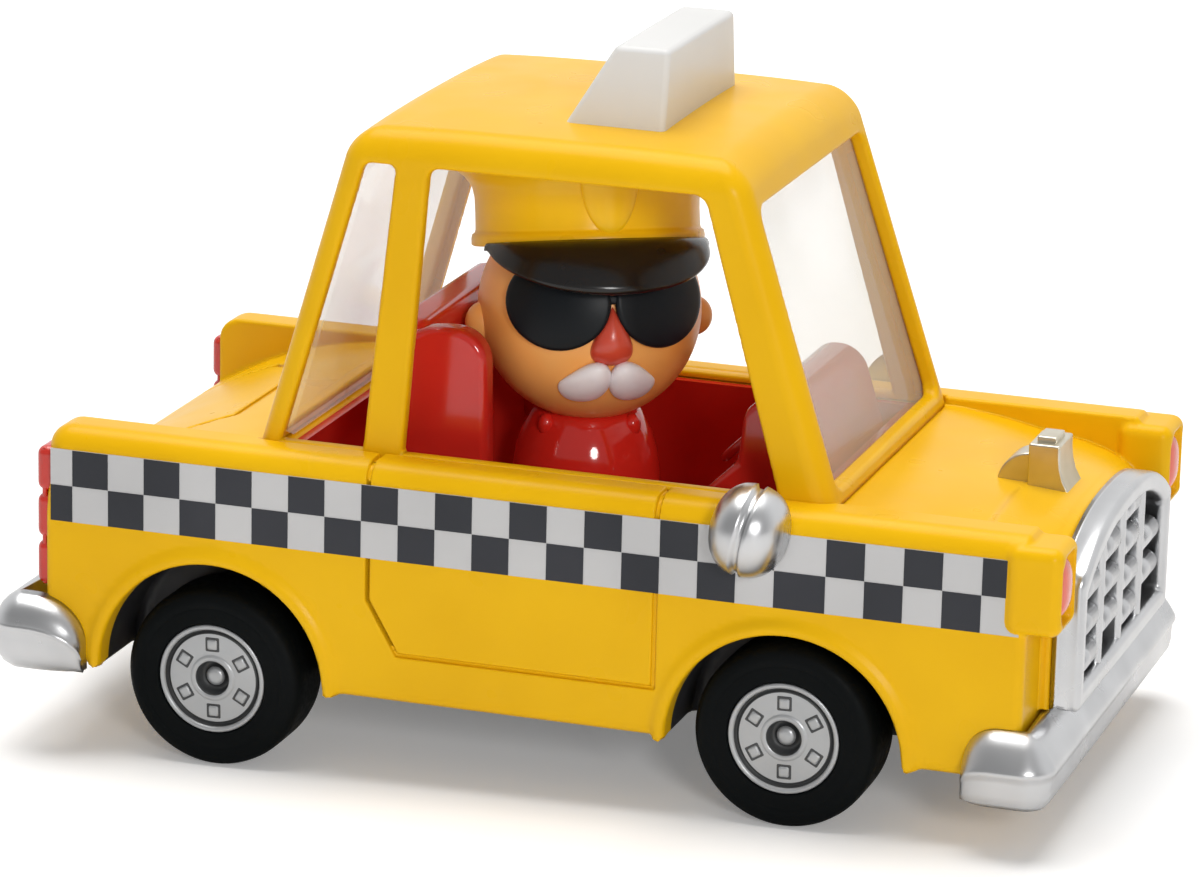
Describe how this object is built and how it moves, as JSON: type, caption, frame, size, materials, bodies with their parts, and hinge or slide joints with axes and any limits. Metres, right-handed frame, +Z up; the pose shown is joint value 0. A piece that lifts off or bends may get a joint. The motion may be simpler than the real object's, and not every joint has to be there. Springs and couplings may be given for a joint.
{
  "type": "toy taxi",
  "caption": "Toy taxi saloon with a clear-windowed cabin, checked side stripes, chrome trim, a roof sign and a doll driver, on free-rolling wheel sets.",
  "frame": {"origin": "on the ground under the middle of the car's bounding box", "axes": "+X to the front of the car, +Y to the driver's left, +Z up from the ground the tyres stand on"},
  "size_m": [0.1206, 0.0672, 0.0792],
  "materials": {
    "body_paint": "glossy yellow moulding",
    "clear_pane": "clear moulded plastic, polished",
    "chrome_trim": "bright silver plating, softly uneven",
    "headlamp_tint": "glossy salmon pink",
    "tail_red": "glossy red",
    "stripe_white": "smooth white sticker",
    "stripe_black": "smooth blue-black print",
    "interior_red": "glossy dark red moulding",
    "black_gloss": "glossy black",
    "base": "satin near-black moulding",
    "steel": "plain bright steel",
    "tyre": "satin black, smooth tread",
    "hub_paint": "satin silver paint",
    "sign_white": "glossy pearl white",
    "driver_red": "glossy red paint",
    "skin": "satin tan brown",
    "moustache": "satin off-white"
  },
  "bodies": {
    "car": {"body_shell": "body_paint", "cabin_frame": "body_paint", "windscreen": "clear_pane", "rear_window": "clear_pane", "roof_sign": "sign_white", "hood_ornament": "chrome_trim", "grille": "chrome_trim", "front_bumper": "chrome_trim", "rear_bumper": "chrome_trim", "headlamp_left": "headlamp_tint", "headlamp_right": "headlamp_tint", "tail_lamp_left": "tail_red", "tail_lamp_right": "tail_red", "mirror_left": "chrome_trim", "mirror_right": "chrome_trim", "stripe_left": "stripe_white", "stripe_right": "stripe_white", "stripe_checks_left": "stripe_black", "stripe_checks_right": "stripe_black", "interior_tub": "interior_red", "seat": "interior_red", "dashboard": "interior_red", "steering_wheel": "interior_red", "driver_torso": "driver_red", "driver_head": "skin", "driver_nose": "driver_red", "driver_moustache": "moustache", "driver_sunglasses": "black_gloss", "driver_cap": "body_paint", "driver_cap_visor": "black_gloss", "base_plate": "base", "base_screws": "steel"},
    "front_wheelset": {"front_axle": "steel", "tyre_front_left": "tyre", "tyre_front_right": "tyre", "hub_front_left": "hub_paint", "hub_front_right": "hub_paint"},
    "rear_wheelset": {"rear_axle": "steel", "tyre_rear_left": "tyre", "tyre_rear_right": "tyre", "hub_rear_left": "hub_paint", "hub_rear_right": "hub_paint"}
  },
  "joints": [
    {"name": "front_axle_spin", "type": "hinge", "parent": "car", "child": "front_wheelset", "pos_m": [0.0294, 0, 0.01], "axis": [0, 1, 0], "continuous": true},
    {"name": "rear_axle_spin", "type": "hinge", "parent": "car", "child": "rear_wheelset", "pos_m": [-0.0349, 0, 0.01], "axis": [0, 1, 0], "continuous": true}
  ]
}
